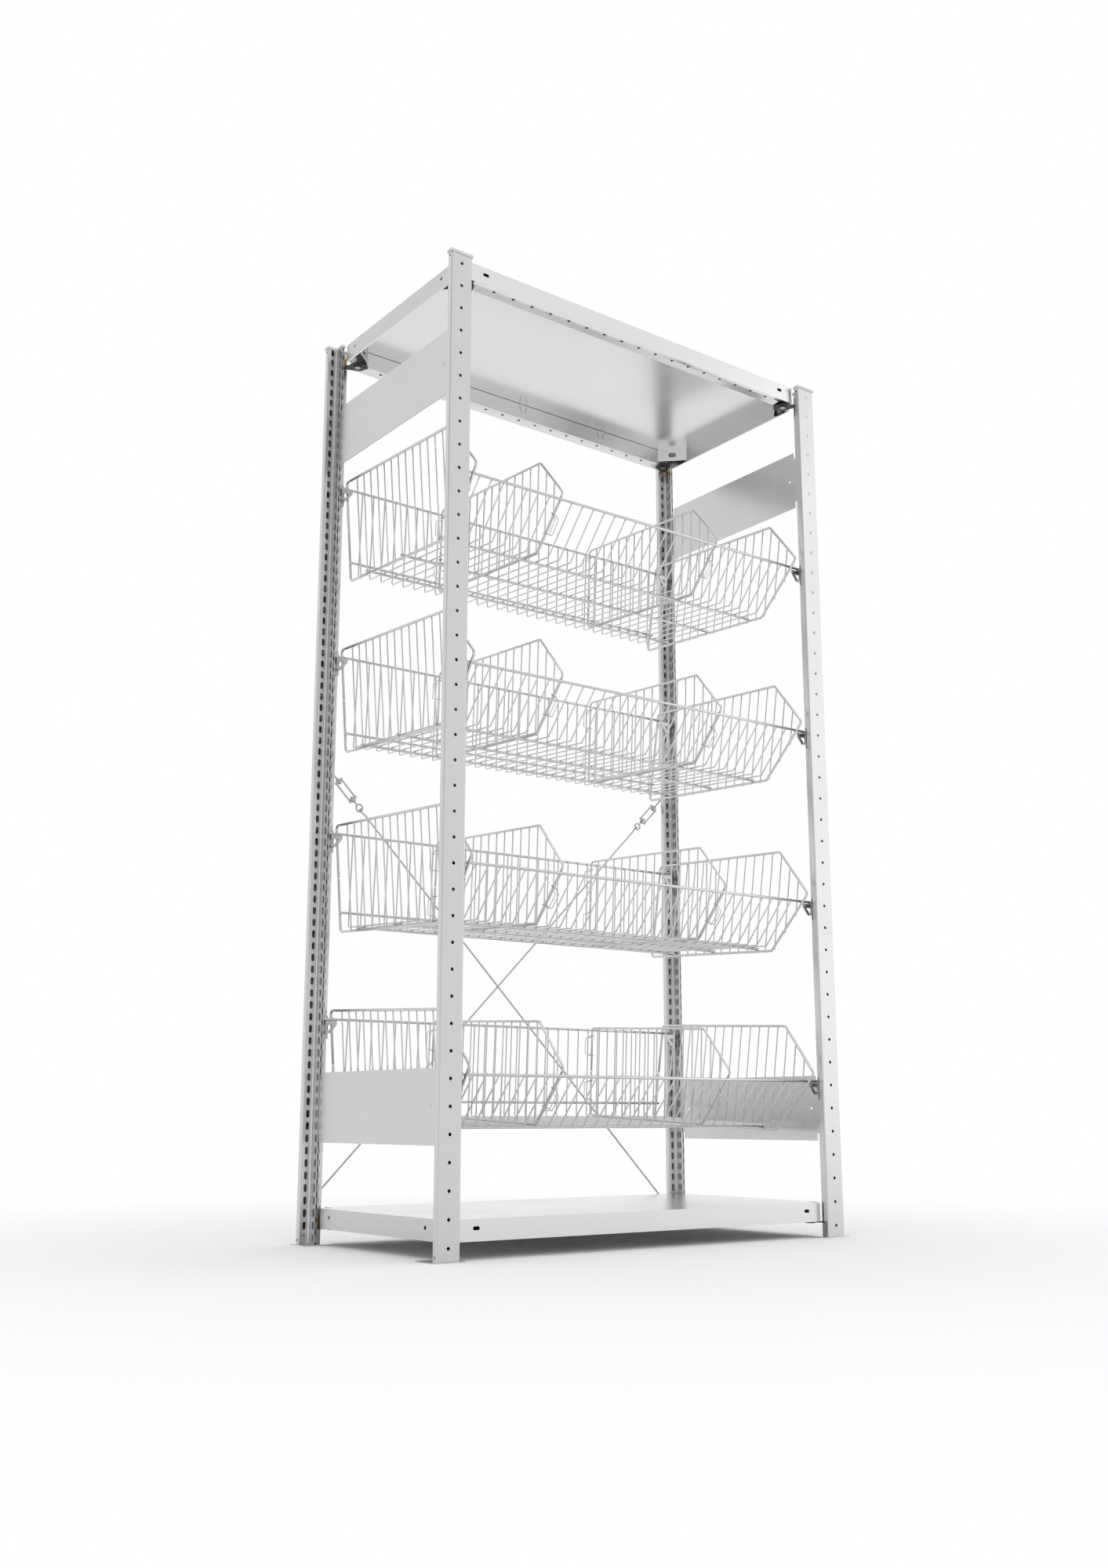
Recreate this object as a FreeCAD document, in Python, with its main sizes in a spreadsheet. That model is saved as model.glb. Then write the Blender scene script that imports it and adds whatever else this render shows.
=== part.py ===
"""Wire basket shelving unit: a boltless galvanised bay with four tilted wire baskets.

Millimetres, +Z up. The origin is on the floor under the middle of the bay, +X points
right and +Y points to the rear. Every driving size is a cell of the sheet below.
"""
import FreeCAD, Part
import math
import os
import re
import Sketcher

V = FreeCAD.Vector
UP = V(0, 0, 1)
doc = FreeCAD.newDocument("wire_basket_shelving")
sheet = doc.addObject("Spreadsheet::Sheet", "Sizes")

SIZES = (
    ("bay_pitch", 1008, "upright centre to upright centre"),
    ("bay_depth", 532, "front face to rear face of the uprights"),
    ("upright_top", 2000, "top of the uprights above the floor"),
    ("slot_pitch", 25, "height step of the bracket slots"),
    ("first_slot", 12.5, "middle of the lowest slot above the floor"),
    ("slot_count", 80, "slots in one column"),
    ("hole_pitch", 50, "height step of the outer face holes"),
    ("first_hole", 25, "lowest outer face hole above the floor"),
    ("hole_count", 40, "holes in the outer face"),
    ("flange_width", 51, "upright flange across the bay"),
    ("flange_depth", 13.6, "upright flange through the bay"),
    ("upright_sheet", 1.5, "sheet of the uprights"),
    ("web_thickness", 6.2, "both web sheets with the gap between them"),
    ("web_depth", 24, "web beyond the flange"),
    ("flange_corner", 2.5, "outer corner radius of the flange"),
    ("web_root", 4.5, "fillet where the web leaves the flange"),
    ("slot_width", 7, "bracket slot width"),
    ("slot_length", 16, "bracket slot height"),
    ("slot_offset", 14, "bracket slot column from the web's middle"),
    ("web_slot_width", 5.5, "web slot width"),
    ("web_slot_length", 15, "web slot height"),
    ("web_slot_offset", 16, "web slot column from the flange"),
    ("face_hole", 6.8, "outer face hole diameter"),
    ("fit_clearance", 0.3, "gap round parts that slide together"),
    ("pin_diameter", 4.4, "cross pin of a foot"),
    ("pin_height", 10, "cross pin above the floor"),
    ("pin_head", 1.5, "pin end outside the flange"),
    ("foot_width", 70, "foot plate across the bay"),
    ("foot_depth", 60, "foot plate through the bay"),
    ("foot_front", 4, "foot plate beyond the upright's outer face"),
    ("foot_thickness", 2, "foot plate"),
    ("foot_plug", 16, "height of the plug inside the flange"),
    ("cap_overhang", 1.6, "cap wall outside the upright"),
    ("cap_skirt", 4, "cap wall below the upright's top"),
    ("cap_roof", 2, "cap above the upright"),
    ("panel_height", 142, "side panel"),
    ("panel_length", 442, "side panel between its end tongues"),
    ("panel_thickness", 2.4, "side panel with its folded hems"),
    ("panel_tongue", 23, "tongue that enters the web"),
    ("panel_tongue_height", 110, "tongue height"),
    ("panel_hole", 6, "hole near each panel end"),
    ("panel_hole_offset", 205, "panel hole from the middle"),
    ("lower_panel_middle", 275, "lower side panels above the floor"),
    ("upper_panel_middle", 1775, "upper side panels above the floor"),
    ("shelf_sheet", 1, "sheet of the shelves"),
    ("shelf_height", 40, "shelf edge"),
    ("shelf_setback", 17, "shelf front behind the uprights' front"),
    ("shelf_front_length", 946, "front edge between its corner notches"),
    ("shelf_length", 1000, "shelf over its side edges"),
    ("shelf_notch", 32, "corner notch through the bay, and the box of a long edge"),
    ("shelf_hem", 4, "return under the side edges"),
    ("shelf_seam", 0.8, "seam between an inner wall and the sheet"),
    ("crease_rise", 3.9, "crease along the underside of a long edge"),
    ("crease_hole", 5, "hole in the crease"),
    ("crease_hole_pitch", 50, "step of the crease holes"),
    ("crease_hole_count", 17, "holes in one crease"),
    ("tab_pitch", 247, "step of the pressed tabs in an inner wall"),
    ("tab_count", 3, "pressed tabs in an inner wall"),
    ("tab_width", 22.6, "pressed tab at its top"),
    ("tab_foot", 11, "pressed tab at its foot"),
    ("tab_low", 16, "foot of a pressed tab above the shelf's underside"),
    ("tab_height", 18, "pressed tab"),
    ("tab_slit", 1.2, "slit beside a pressed tab"),
    ("gusset_reach", 54, "corner gusset along each wall"),
    ("gusset_height", 33, "corner gusset"),
    ("gusset_hole_width", 13, "hole in a corner gusset"),
    ("gusset_hole_length", 20, "hole in a corner gusset"),
    ("bottom_shelf_slot", 1, "slot that carries the bottom shelf, from zero"),
    ("top_shelf_slot", 78, "slot that carries the top shelf, from zero"),
    ("shelf_drop", 4.5, "underside of a shelf below its slot"),
    ("edge_slot_width", 7, "oblong slot in the shelf front"),
    ("edge_slot_length", 15, "oblong slot in the shelf front"),
    ("edge_slot_offset", 432, "oblong slot from the middle"),
    ("edge_hole", 8, "hole in the shelf side"),
    ("edge_hole_offset", 181, "shelf side hole from the middle"),
    ("edge_hole_drop", 16.5, "edge holes below the shelf top"),
    ("bracket_sheet", 2.5, "sheet of hooks, hangers and clip plates"),
    ("hook_width", 4.4, "hook through a slot"),
    ("hook_lift", 1, "hook above the slot's lower end"),
    ("hook_rise", 2, "top of a hook above the slot's middle"),
    ("hook_tail", 7, "hook tail below its neck"),
    ("strip_width", 10, "clip hook strip"),
    ("strip_above", 20, "clip hook strip above its slot"),
    ("strip_below", 8, "clip hook strip below its slot"),
    ("clip_length", 55, "clip plate from the upright to its inner end"),
    ("clip_waist", 34, "widest place of the clip plate from its tip"),
    ("clip_width", 38, "widest part of the clip plate"),
    ("clip_tip", 10, "clip plate width at the upright"),
    ("clip_end", 18, "clip plate width at its inner end"),
    ("clip_boss", 20, "pressed boss of the clip plate"),
    ("clip_boss_drop", 1.5, "pressed boss below the plate"),
    ("clip_boss_place", 32, "pressed boss from the tip"),
    ("clip_hole", 5, "hole near the clip plate's inner end"),
    ("clip_hole_place", 48, "clip plate hole from the tip"),
    ("hanger_seat", 17.6, "top of a hanger's seat above its lower slot"),
    ("hanger_above", 29, "hanger plate above its lower slot"),
    ("hanger_below", 20, "hanger plate below its lower slot"),
    ("hanger_outer", 6, "hanger plate from its slots towards the web"),
    ("hanger_inner", 12, "hanger plate from its slots towards the basket"),
    ("hanger_shelf", 16, "hanger seat from its slots"),
    ("hanger_reach", 27, "hanger tongue from its slots"),
    ("hanger_depth", 14.5, "hanger seat from the flange"),
    ("hanger_tongue", 8, "height of the hanger tongue"),
    ("hanger_gusset", 9, "gusset below the lower slot"),
    ("hanger_strut", 3, "width of the struts round the gusset hole"),
    ("end_wire", 6, "wire of the basket ends"),
    ("bar_wire", 6, "long bars of a basket"),
    ("cross_wire", 3.3, "bent wires of a basket"),
    ("divider_wire", 5, "frame wire of a divider"),
    ("infill_wire", 3.2, "upright wires of ends and dividers"),
    ("clip_wire", 2, "wire of the divider clips"),
    ("wire_pitch", 29.7, "step of the bent wires and of the infill"),
    ("cross_count", 30, "bent wires in one basket"),
    ("infill_count", 16, "infill wires in one end"),
    ("end_infill_first", 39, "first infill wire of an end from its rear wire"),
    ("divider_infill_first", 23, "first infill wire of a divider from its rear wire"),
    ("infill_poke", 3, "infill wire past the frame wire's middle"),
    ("weld", 0.3, "depth that welded wires sink into each other"),
    ("wire_gap", 0.05, "gap between wires that only touch"),
    ("basket_top", 104.2, "top edge above the front point"),
    ("basket_bottom", 127.2, "bottom edge below the front point"),
    ("basket_rear", 521, "rear wall behind the front point"),
    ("top_setback", 98.5, "front of the top edge behind the front point"),
    ("bottom_setback", 100.5, "front of the bottom edge behind the front point"),
    ("end_half", 456.4, "basket end from the middle, at the front point"),
    ("end_lean", 5.8, "inward lean of the basket ends, degrees"),
    ("end_bend", 9, "bend radius of the end frames"),
    ("cross_bend", 12, "bend radius of the cross wires"),
    ("rim_half", 488, "rim ends from the middle"),
    ("front_rim_place", 26, "front rim down the front slope"),
    ("rear_rim_height", 85, "rear rim above the front point"),
    ("rear_bar_height", 42, "rear bar above the bottom edge"),
    ("floor_bar_first", 48, "first floor bar behind the bottom's front"),
    ("floor_bar_pitch", 148, "step of the floor bars"),
    ("floor_bar_count", 3, "floor bars"),
    ("bar_poke", 5, "bar end past a basket end"),
    ("frame_joint", -11, "butt joint of an end's frame wire from the front point"),
    ("frame_gap", 1.2, "gap in the butt joint"),
    ("left_divider", 7, "bent wire under the left divider, from zero"),
    ("right_divider", 22, "bent wire under the right divider, from zero"),
    ("divider_setback", 26, "divider's rear wire in front of the ends' rear wires"),
    ("clip_loop_left", 10, "front clip to the left of its divider"),
    ("clip_loop_right", 15, "front clip to the right of its divider"),
    ("clip_loop_bar", 9, "middle wire of a front clip from its divider"),
    ("clip_loop_length", 46, "divider clip along its wall"),
    ("front_clip_place", 66, "front clip down the front slope"),
    ("rear_clip_low", -20, "lower rear clip from the front point"),
    ("rear_clip_high", 45, "upper rear clip from the front point"),
    ("basket_shift", -5, "baskets from the bay's middle"),
    ("basket_first", 12, "slot of the lowest front hangers, from zero"),
    ("basket_step", 16, "slots from one basket to the next"),
    ("basket_rise", 5, "slots from a front hanger to its rear hanger"),
    ("brace_rod", 4, "rod of the rear brace"),
    ("brace_hook", 8, "rod end inside the upright"),
    ("brace_bend", 4, "bend radius of the rod ends"),
    ("brace_low_hole", 0, "face hole of the lower brace end, from zero"),
    ("brace_rise", 20, "holes from one end of a brace to the other"),
    ("brace_stagger", 1, "holes between the two braces"),
    ("buckle_start", 56, "turnbuckle from the upper hole"),
    ("buckle_length", 64, "turnbuckle"),
    ("buckle_half", 8.5, "side rod from the turnbuckle's axis"),
    ("buckle_arm", 0.8, "turnbuckle arm beyond its side rod"),
    ("buckle_nut", 10, "turnbuckle nut diameter"),
    ("buckle_nut_length", 11, "turnbuckle nut"),
    ("buckle_thread", 14, "rod end inside the turnbuckle"),
    ("eye_radius", 8, "middle of the eye's wire from its centre"),
    ("eye_neck", 10, "eye wire from the turnbuckle"),
    ("joggle", 9, "length of the rod's step round the eye"),
)
for row, (alias, value, note) in enumerate(SIZES, 1):
    sheet.set("A%d" % row, note)
    sheet.set("B%d" % row, str(value))
    sheet.setAlias("B%d" % row, alias)
doc.recompute()


def cells(expression):
    """The expression with every size named as a cell of the sheet."""
    names = [alias for alias, value, note in SIZES]
    return re.sub(r"[a-z_]+", lambda word: "Sizes." + word[0] if word[0] in names else word[0], expression)


def size(expression):
    """Number that an expression of sheet sizes gives."""
    return float(sheet.evalExpression(cells(expression)))


def sketch_on(body, name, role, lift="0"):
    """Sketch on one of the body's own origin planes, lifted along its normal."""
    plane = next(f for f in body.Origin.OriginFeatures if f.Role == role)
    sketch = body.newObject("Sketcher::SketchObject", name)
    sketch.AttachmentSupport = (plane, [""])
    sketch.MapMode = "FlatFace"
    sketch.setExpression("AttachmentOffset.Base.z", cells(lift))
    return sketch


def hold(sketch, kind, geometry, point, expression):
    """Tie one coordinate of a sketch point to the sheet."""
    value = size(expression)
    index = sketch.addConstraint(Sketcher.Constraint(kind, -1, 1, geometry, point, value))
    sketch.setExpression("Constraints[%d]" % index, cells(expression))


def outline(sketch, corners):
    """Closed outline of straight edges; each corner is a pair of expressions."""
    points = [V(size(x), size(y), 0) for x, y in corners]
    first = sketch.GeometryCount
    count = len(points)
    for i in range(count):
        sketch.addGeometry(Part.LineSegment(points[i], points[(i + 1) % count]))
    for i in range(count):
        joint = Sketcher.Constraint("Coincident", first + i, 2, first + (i + 1) % count, 1)
        sketch.addConstraint(joint)
    for i, (x, y) in enumerate(corners):
        hold(sketch, "DistanceX", first + i, 1, x)
        hold(sketch, "DistanceY", first + i, 1, y)


def rectangle(sketch, left, right, low, high):
    outline(sketch, ((left, low), (right, low), (right, high), (left, high)))


def circle(sketch, x, y, diameter):
    radius = size(diameter) / 2
    ring = sketch.addGeometry(Part.Circle(V(size(x), size(y), 0), V(0, 0, 1), radius))
    hold(sketch, "DistanceX", ring, 3, x)
    hold(sketch, "DistanceY", ring, 3, y)
    index = sketch.addConstraint(Sketcher.Constraint("Diameter", ring, 2 * radius))
    sketch.setExpression("Constraints[%d]" % index, cells(diameter))


def oblong(sketch, x, y, width, length, upright=True):
    """Slot with round ends about a middle point."""
    radius = size(width) / 2
    reach = "(%s - %s) / 2" % (length, width)
    middle = V(size(x), size(y), 0)
    along = V(0, 1, 0) if upright else V(1, 0, 0)
    turn = 0 if upright else -math.pi / 2
    step = along * size(reach)
    across = V(along.y, -along.x, 0) * radius
    one = Part.Circle(middle + step, V(0, 0, 1), radius)
    two = Part.Circle(middle - step, V(0, 0, 1), radius)
    head = sketch.addGeometry(Part.ArcOfCircle(one, turn, turn + math.pi))
    tail = sketch.addGeometry(Part.ArcOfCircle(two, turn + math.pi, turn + 2 * math.pi))
    side = sketch.addGeometry(Part.LineSegment(middle + step - across, middle - step - across))
    back = sketch.addGeometry(Part.LineSegment(middle - step + across, middle + step + across))
    for one_end, other_end in (((head, 2), (side, 1)), ((side, 2), (tail, 1)),
                               ((tail, 2), (back, 1)), ((back, 2), (head, 1))):
        sketch.addConstraint(Sketcher.Constraint("Tangent", *one_end, *other_end))
    sketch.addConstraint(Sketcher.Constraint("Equal", head, tail))
    index = sketch.addConstraint(Sketcher.Constraint("Radius", head, radius))
    sketch.setExpression("Constraints[%d]" % index, cells("%s / 2" % width))
    for arc, sign in ((head, "+"), (tail, "-")):
        hold(sketch, "DistanceX", arc, 3, x if upright else "%s %s %s" % (x, sign, reach))
        hold(sketch, "DistanceY", arc, 3, "%s %s %s" % (y, sign, reach) if upright else y)


def extrude(body, kind, name, sketch, length, symmetric=False, flip=False):
    """Pad or pocket of a sketch with its length tied to the sheet."""
    feature = body.newObject("PartDesign::" + kind, name)
    feature.Profile = sketch
    feature.setExpression("Length", cells(length))
    feature.SideType = "Symmetric" if symmetric else "One side"
    feature.Reversed = flip
    doc.recompute()
    return feature


def repeat(body, name, feature, role, step, count):
    """Straight row of one feature along an origin axis."""
    axis = next(f for f in body.Origin.OriginFeatures if f.Role == role)
    row = body.newObject("PartDesign::LinearPattern", name)
    row.Originals = [feature]
    row.Direction = (axis, [""])
    row.setExpression("Length", cells("%s * (%s - 1)" % (step, count)))
    row.setExpression("Occurrences", cells(count))
    body.Tip = row
    doc.recompute()
    return row


def round_edges(body, name, base, radius, places):
    """Fillet on the upright edges of a pad that stand at the given places."""
    names = []
    for number, edge in enumerate(base.Shape.Edges, 1):
        ends = [v.Point for v in edge.Vertexes]
        standing = len(ends) == 2 and math.hypot(ends[0].x - ends[1].x, ends[0].y - ends[1].y) < 1e-6
        if standing and any(math.hypot(ends[0].x - x, ends[0].y - y) < 1e-3 for x, y in places):
            names.append("Edge%d" % number)
    fillet = body.newObject("PartDesign::Fillet", name)
    fillet.Base = (base, names)
    fillet.setExpression("Radius", cells(radius))
    doc.recompute()
    return fillet


def new_body(label):
    body = doc.addObject("PartDesign::Body", label)
    body.Label = label
    return body


def shaped(label, shape, placement=None):
    """Document object for a shape made from bent wires."""
    piece = doc.addObject("Part::Feature", label)
    piece.Label = label
    piece.Shape = shape
    if placement:
        piece.Placement = placement
    return piece


def linked(label, source, placement):
    """Another piece of the same make in its own place."""
    piece = doc.addObject("App::Link", label)
    piece.Label = label
    piece.LinkedObject = source
    piece.Placement = placement
    return piece


def grouped(label, pieces):
    """Several loose pieces of one kind as one group."""
    group = doc.addObject("Part::Compound", label)
    group.Label = label
    group.Links = pieces
    return group


def at(x, y, z, turn=0):
    return FreeCAD.Placement(V(x, y, z), FreeCAD.Rotation(UP, turn))


def bent_wire(points, diameter, bend, closed=False):
    """Round wire along straight runs joined by arcs of one bend radius."""
    points = list(points)
    if closed:
        middle = (points[0] + points[1]) / 2
        points = [middle] + points[1:] + [points[0], middle]
    edges = []
    last = points[0]
    for before, corner, after in zip(points, points[1:], points[2:]):
        back = (before - corner).normalize()
        ahead = (after - corner).normalize()
        half = back.getAngle(ahead) / 2
        run = bend / math.tan(half)
        inward = (back + ahead).normalize()
        top = corner + inward * (bend / math.sin(half) - bend)
        start = corner + back * run
        edges.append(Part.LineSegment(last, start).toShape())
        last = corner + ahead * run
        edges.append(Part.Arc(start, top, last).toShape())
    edges.append(Part.LineSegment(last, points[-1]).toShape())
    section = Part.Circle(points[0], points[1] - points[0], diameter / 2).toShape()
    return Part.Wire(edges).makePipeShell([Part.Wire([section])], True, False)


def straight_wire(start, end, diameter):
    run = end - start
    return Part.makeCylinder(diameter / 2, run.Length, start, run)


nodes = []
half_bay = size("bay_pitch / 2")
half_depth = size("bay_depth / 2")
CORNERS = (("front_left", -1, -1, 0), ("front_right", 1, -1, 0),
           ("rear_left", -1, 1, 180), ("rear_right", 1, 1, 180))


def corner_copies(kind, source):
    """The same piece at the four uprights, the rear ones turned to face the front."""
    for name, side, end, turn in CORNERS:
        place = at(side * half_bay, end * half_depth, 0, turn)
        nodes.append(linked("%s_%s" % (kind, name), source, place))


# The upright is one strip, rolled to a hollow flange with a double web behind it.
# Its own frame has the outer face at y = 0 and the web towards +y.
def tee(sketch, grow):
    """Outline of the upright's section, grown outwards by a size."""
    wide = "flange_width / 2 + " + grow
    thin = "web_thickness / 2 + " + grow
    back = "flange_depth + " + grow
    tip = "flange_depth + web_depth + " + grow
    front = "-(%s)" % grow
    outline(sketch, (("-(%s)" % wide, front), (wide, front), (wide, back), (thin, back), (thin, tip),
                     ("-(%s)" % thin, tip), ("-(%s)" % thin, back), ("-(%s)" % wide, back)))


upright = new_body("upright_master")
section = sketch_on(upright, "upright_section", "XY_Plane", "foot_thickness")
tee(section, "0")
bar = extrude(upright, "Pad", "upright_bar", section, "upright_top - foot_thickness")
wide = size("flange_width / 2")
thin = size("web_thickness / 2")
deep = size("flange_depth")
rounded = round_edges(upright, "flange_corners", bar, "flange_corner",
                      [(-wide, 0), (wide, 0), (-wide, deep), (wide, deep)])
rounded = round_edges(upright, "web_roots", rounded, "web_root", [(-thin, deep), (thin, deep)])
hollow = sketch_on(upright, "upright_hollow", "XY_Plane", "foot_thickness")
tee(hollow, "(-upright_sheet)")
extrude(upright, "Pocket", "upright_void", hollow, "2 * upright_top", symmetric=True)
gap = sketch_on(upright, "web_gap", "XY_Plane", "foot_thickness")
rectangle(gap, "-(web_thickness / 2 - upright_sheet)", "web_thickness / 2 - upright_sheet",
          "flange_depth", "flange_depth + web_depth + upright_sheet")
extrude(upright, "Pocket", "web_gap_cut", gap, "2 * upright_top", symmetric=True)
slots = sketch_on(upright, "bracket_slots", "XZ_Plane", "-flange_depth")
for side in ("-slot_offset", "slot_offset"):
    oblong(slots, side, "first_slot", "slot_width", "slot_length")
cut = extrude(upright, "Pocket", "bracket_slot_cut", slots, "2 * upright_sheet + web_root", symmetric=True)
repeat(upright, "bracket_slot_rows", cut, "Z_Axis", "slot_pitch", "slot_count")
holes = sketch_on(upright, "face_holes", "XZ_Plane")
circle(holes, "0", "first_hole", "face_hole")
cut = extrude(upright, "Pocket", "face_hole_cut", holes, "4 * upright_sheet", symmetric=True)
repeat(upright, "face_hole_row", cut, "Z_Axis", "hole_pitch", "hole_count")
slots = sketch_on(upright, "web_slots", "YZ_Plane")
oblong(slots, "flange_depth + web_slot_offset", "first_slot", "web_slot_width", "web_slot_length")
cut = extrude(upright, "Pocket", "web_slot_cut", slots, "2 * web_thickness", symmetric=True)
repeat(upright, "web_slot_row", cut, "Z_Axis", "slot_pitch", "slot_count")
holes = sketch_on(upright, "pin_holes", "YZ_Plane")
circle(holes, "flange_depth / 2", "pin_height", "pin_diameter + fit_clearance")
circle(holes, "flange_depth / 2", "upright_top - pin_height - foot_thickness",
       "pin_diameter + fit_clearance")
extrude(upright, "Pocket", "pin_hole_cut", holes, "2 * flange_width", symmetric=True)
corner_copies("upright", upright)

# A grey plastic cap closes each upright with a short skirt round its top.
cap = new_body("cap_master")
roof = sketch_on(cap, "cap_outline", "XY_Plane", "upright_top - cap_skirt")
tee(roof, "cap_overhang")
block = extrude(cap, "Pad", "cap_block", roof, "cap_skirt + cap_roof")
grow = size("cap_overhang")
round_edges(cap, "cap_roots", block, "web_root - cap_overhang",
            [(-thin - grow, deep + grow), (thin + grow, deep + grow)])
inside = sketch_on(cap, "cap_inside", "XY_Plane", "upright_top")
tee(inside, "(fit_clearance / 2)")
hollow = extrude(cap, "Pocket", "cap_hollow", inside, "cap_skirt")
grow = size("fit_clearance / 2")
round_edges(cap, "cap_inner_roots", hollow, "web_root - fit_clearance / 2",
            [(-thin - grow, deep + grow), (thin + grow, deep + grow)])
corner_copies("cap", cap)

# A steel foot plate stands under each upright, with a plug pinned inside the flange.
foot = new_body("foot_master")
plate = sketch_on(foot, "foot_outline", "XY_Plane")
rectangle(plate, "-foot_width / 2", "foot_width / 2", "-foot_front", "foot_depth - foot_front")
extrude(foot, "Pad", "foot_plate", plate, "foot_thickness")
plug = sketch_on(foot, "plug_outline", "XY_Plane", "foot_thickness")
inset = "(upright_sheet + fit_clearance)"
rectangle(plug, "-(flange_width / 2 - %s)" % inset, "flange_width / 2 - " + inset,
          inset, "flange_depth - " + inset)
extrude(foot, "Pad", "foot_plug", plug, "foot_plug")
bore = sketch_on(foot, "plug_bore", "YZ_Plane")
circle(bore, "flange_depth / 2", "pin_height", "pin_diameter + fit_clearance")
extrude(foot, "Pocket", "plug_bore_cut", bore, "2 * flange_width", symmetric=True)
corner_copies("foot", foot)

pins = []
for name, side, end, turn in CORNERS:
    pin = doc.addObject("Part::Cylinder", "pin_" + name)
    pin.setExpression("Radius", cells("pin_diameter / 2"))
    pin.setExpression("Height", cells("flange_width + 2 * pin_head"))
    start = side * half_bay - size("flange_width / 2 + pin_head")
    across = end * (half_depth - deep / 2)
    pin.Placement = FreeCAD.Placement(V(start, across, size("pin_height")),
                                      FreeCAD.Rotation(V(0, 1, 0), 90))
    pins.append(pin)
nodes.append(grouped("foot_pins", pins))

# Side panels stand in the web gaps of a front and a rear upright.
panel = new_body("panel_master")
face = sketch_on(panel, "panel_outline", "YZ_Plane")
long = "panel_length / 2"
end = "panel_length / 2 + panel_tongue"
tall = "panel_height / 2"
low = "panel_tongue_height / 2"
outline(face, (("-(%s)" % long, "-(%s)" % tall), (long, "-(%s)" % tall), (long, "-(%s)" % low),
               (end, "-(%s)" % low), (end, low), (long, low), (long, tall), ("-(%s)" % long, tall),
               ("-(%s)" % long, low), ("-(%s)" % end, low), ("-(%s)" % end, "-(%s)" % low),
               ("-(%s)" % long, "-(%s)" % low)))
extrude(panel, "Pad", "panel_sheet", face, "panel_thickness", symmetric=True)
holes = sketch_on(panel, "panel_holes", "YZ_Plane")
for place in ("-panel_hole_offset", "panel_hole_offset"):
    circle(holes, place, "0", "panel_hole")
extrude(panel, "Pocket", "panel_hole_cut", holes, "2 * panel_thickness", symmetric=True)
for level in ("lower", "upper"):
    for name, side in (("left", -1), ("right", 1)):
        place = at(side * half_bay, 0, size(level + "_panel_middle"))
        nodes.append(linked("side_panel_%s_%s" % (level, name), panel, place))

# A shelf is one folded sheet. Its long edges are box sections with a creased underside,
# its side edges are plain walls with a hem, and a gusset stands across each corner.
shelf = new_body("shelf_master")
long_face = "(bay_depth / 2 - shelf_setback)"
box_wall = "(bay_depth / 2 - shelf_setback - shelf_notch)"
bay_wall = "(bay_depth / 2 - shelf_setback - shelf_notch - shelf_sheet)"
side_face = "(shelf_length / 2)"
side_wall = "(shelf_length / 2 - shelf_sheet)"
notch_face = "(shelf_front_length / 2)"
plan = sketch_on(shelf, "shelf_outline", "XY_Plane")
outline(plan, (("-" + notch_face, "-" + long_face), (notch_face, "-" + long_face),
               (notch_face, "-" + box_wall), (side_face, "-" + box_wall),
               (side_face, box_wall), (notch_face, box_wall),
               (notch_face, long_face), ("-" + notch_face, long_face),
               ("-" + notch_face, box_wall), ("-" + side_face, box_wall),
               ("-" + side_face, "-" + box_wall), ("-" + notch_face, "-" + box_wall)))
extrude(shelf, "Pad", "shelf_block", plan, "shelf_height")
bay = sketch_on(shelf, "shelf_bay", "XY_Plane", "shelf_sheet")
rectangle(bay, "-" + side_wall, side_wall, "-" + bay_wall, bay_wall)
extrude(shelf, "Pocket", "shelf_bay_cut", bay, "shelf_height - 2 * shelf_sheet", flip=True)
mouth = sketch_on(shelf, "shelf_mouth", "XY_Plane")
hem_edge = side_face + " - shelf_hem"
rectangle(mouth, "-(%s)" % hem_edge, hem_edge, "-" + bay_wall, bay_wall)
extrude(shelf, "Pocket", "shelf_mouth_cut", mouth, "2 * shelf_sheet", symmetric=True)
crease_middle = "((%s + %s) / 2)" % (long_face, bay_wall)
creases = sketch_on(shelf, "shelf_creases", "YZ_Plane")
boxes = sketch_on(shelf, "shelf_boxes", "YZ_Plane")
seams = sketch_on(shelf, "shelf_seams", "YZ_Plane")
ceiling = "shelf_height - shelf_sheet"
for sign in ("-", ""):
    outer = sign + "(%s - shelf_sheet)" % long_face
    inner = sign + box_wall
    outline(creases, ((sign + long_face, "0"), (sign + crease_middle, "crease_rise"),
                      (sign + bay_wall, "0")))
    outline(boxes, ((outer, "shelf_sheet"), (sign + crease_middle, "crease_rise + shelf_sheet"),
                    (inner, "shelf_sheet"), (inner, ceiling), (outer, ceiling)))
    rectangle(seams, sign + "(%s - shelf_sheet)" % bay_wall, inner, ceiling + " - shelf_seam", ceiling)
extrude(shelf, "Pocket", "shelf_crease_cut", creases, "shelf_front_length", symmetric=True)
extrude(shelf, "Pocket", "shelf_box_cut", boxes, "shelf_front_length - 2 * shelf_sheet", symmetric=True)
extrude(shelf, "Pocket", "shelf_seam_cut", seams, "shelf_front_length - 2 * shelf_sheet", symmetric=True)
marks = sketch_on(shelf, "crease_holes", "XY_Plane")
start = "-crease_hole_pitch * (crease_hole_count - 1) / 2"
for sign in ("-", ""):
    circle(marks, start, sign + crease_middle, "crease_hole")
cut = extrude(shelf, "Pocket", "crease_hole_cut", marks, "2 * (crease_rise + 2 * shelf_sheet)",
              symmetric=True)
repeat(shelf, "crease_hole_row", cut, "X_Axis", "crease_hole_pitch", "crease_hole_count")
slits = sketch_on(shelf, "tab_slits", "XZ_Plane")
start = "-tab_pitch * (tab_count - 1) / 2"
for sign in ("-", "+"):
    head = "%s %s tab_width / 2" % (start, sign)
    foot = "%s %s tab_foot / 2" % (start, sign)
    outline(slits, ((head, "tab_low + tab_height"), (head + " + tab_slit", "tab_low + tab_height"),
                    (foot + " + tab_slit", "tab_low"), (foot, "tab_low")))
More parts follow.
